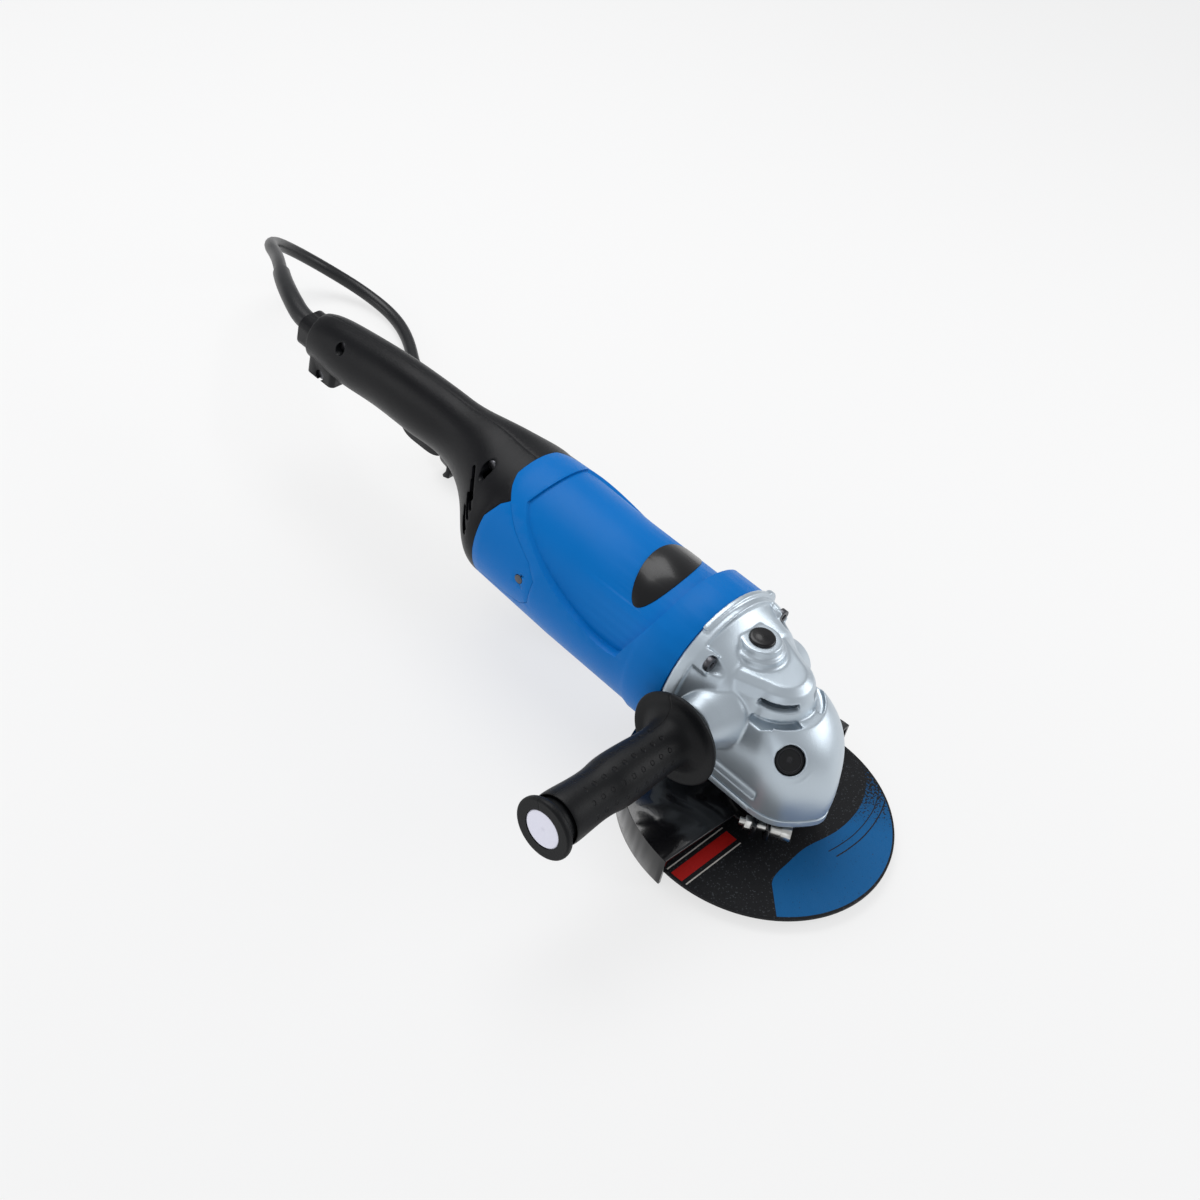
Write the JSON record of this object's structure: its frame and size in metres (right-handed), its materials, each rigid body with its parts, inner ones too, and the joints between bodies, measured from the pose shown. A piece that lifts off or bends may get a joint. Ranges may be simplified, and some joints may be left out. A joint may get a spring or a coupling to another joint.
{
  "type": "angle grinder",
  "caption": "Large corded angle grinder with side handle, adjustable wheel guard, spindle lock, rear handle with trigger, opened-up motor and bevel gear train, cord and plug",
  "frame": {"origin": "on the spindle's axis, where the disc seats against the inner flange", "axes": "+Z along the spindle, away from the disc; +X from the rear handle to the gear head; +Y the tool's left"},
  "size_m": [0.6932, 0.3505, 0.1452],
  "materials": {
    "aluminium": "cast, satin",
    "blue_plastic": "satin, fine grain",
    "black_plastic": "satin",
    "gloss_black": "glossy",
    "grip_rubber": "matt, small dimples",
    "pale_plastic": "glossy",
    "guard_paint": "glossy",
    "zinc": "zinc plated",
    "steel": "machined",
    "copper": "bare",
    "winding": "varnished wire",
    "lamination": "stacked sheet",
    "carbon": "pressed carbon",
    "abrasive": "bonded grit with a printed face",
    "lamp_orange": "clear orange",
    "cord_rubber": "satin",
    "brass": "drawn"
  },
  "bodies": {
    "tool": {"air_baffle": "black_plastic", "badge": "gloss_black", "brush_cover_left": "blue_plastic", "brush_cover_right": "blue_plastic", "brush_cover_screws": "zinc", "brush_holders": "brass", "brush_springs": "steel", "cable_clamp": "black_plastic", "cable_sleeve": "cord_rubber", "carbon_brushes": "carbon", "cord_coil": "cord_rubber", "cord_tail": "cord_rubber", "cord_tie": "black_plastic", "cord_tube": "cord_rubber", "field_coils": "winding", "front_motor_bearing": "steel", "gear_housing": "aluminium", "gearbox_cover": "aluminium", "gearbox_cover_screws": "zinc", "handle_screws": "zinc", "handle_shell_left": "black_plastic", "handle_shell_right": "black_plastic", "head_screws": "zinc", "lock_spring": "steel", "lower_spindle_bearing": "steel", "motor_housing": "blue_plastic", "plug_body": "black_plastic", "plug_pins": "brass", "power_lamp": "lamp_orange", "rear_motor_bearing": "steel", "side_handle_cap": "pale_plastic", "side_handle_grip": "grip_rubber", "side_handle_stud": "steel", "spindle_seal": "black_plastic", "stator_core": "lamination", "switch_body": "black_plastic", "top_plug": "black_plastic", "trigger_pin": "steel", "trigger_spring": "steel", "upper_spindle_bush": "brass"},
    "armature": {"armature_shaft": "steel", "armature_core": "lamination", "armature_windings": "winding", "commutator": "copper", "cooling_fan": "black_plastic", "bevel_pinion": "steel", "pinion_nut": "steel"},
    "spindle": {"spindle": "steel", "bevel_gear": "steel", "inner_flange": "steel", "cutting_disc": "abrasive", "flange_nut": "steel"},
    "lock": {"lock_button": "black_plastic", "lock_pin": "steel"},
    "guard": {"guard": "guard_paint", "guard_band": "guard_paint", "clamp_screw": "zinc", "clamp_nut": "zinc"},
    "trigger": {"trigger": "black_plastic"},
    "lock_off": {"lock_off_tab": "black_plastic"}
  },
  "joints": [
    {"name": "armature_spin", "type": "hinge", "parent": "tool", "child": "armature", "pos_m": [-0.15, 0, 0.0793], "axis": [1, 0, 0], "continuous": true},
    {"name": "spindle_spin", "type": "hinge", "parent": "tool", "child": "spindle", "pos_m": [0, 0, 0], "axis": [0, 0, 1], "continuous": true},
    {"name": "spindle_lock", "type": "slide", "parent": "tool", "child": "lock", "axis": [-0.3601, 0.6002, -0.7142], "range_m": [0, 0.004], "stiffness_N_per_m": 900, "springref_m": -0.002, "deforming": ["lock_spring"]},
    {"name": "guard_turn", "type": "hinge", "parent": "tool", "child": "guard", "pos_m": [0, 0, 0.0185], "axis": [0, 0, 1], "range_deg": [-60, 60]},
    {"name": "trigger_pull", "type": "hinge", "parent": "tool", "child": "trigger", "pos_m": [-0.3515, 0, 0.0868], "axis": [0, -1, 0], "range_deg": [0, 6], "stiffness_Nm_per_rad": 2, "springref_deg": -8.59, "deforming": ["trigger_spring"]},
    {"name": "lock_off_slide", "type": "slide", "parent": "tool", "child": "lock_off", "axis": [1, 0, 0], "range_m": [0, 0.0026], "stiffness_N_per_m": 300, "springref_m": -0.001}
  ],
  "couplings": [
    {"joint": "spindle_spin", "follows": "armature_spin", "ratio": -0.32432}
  ]
}
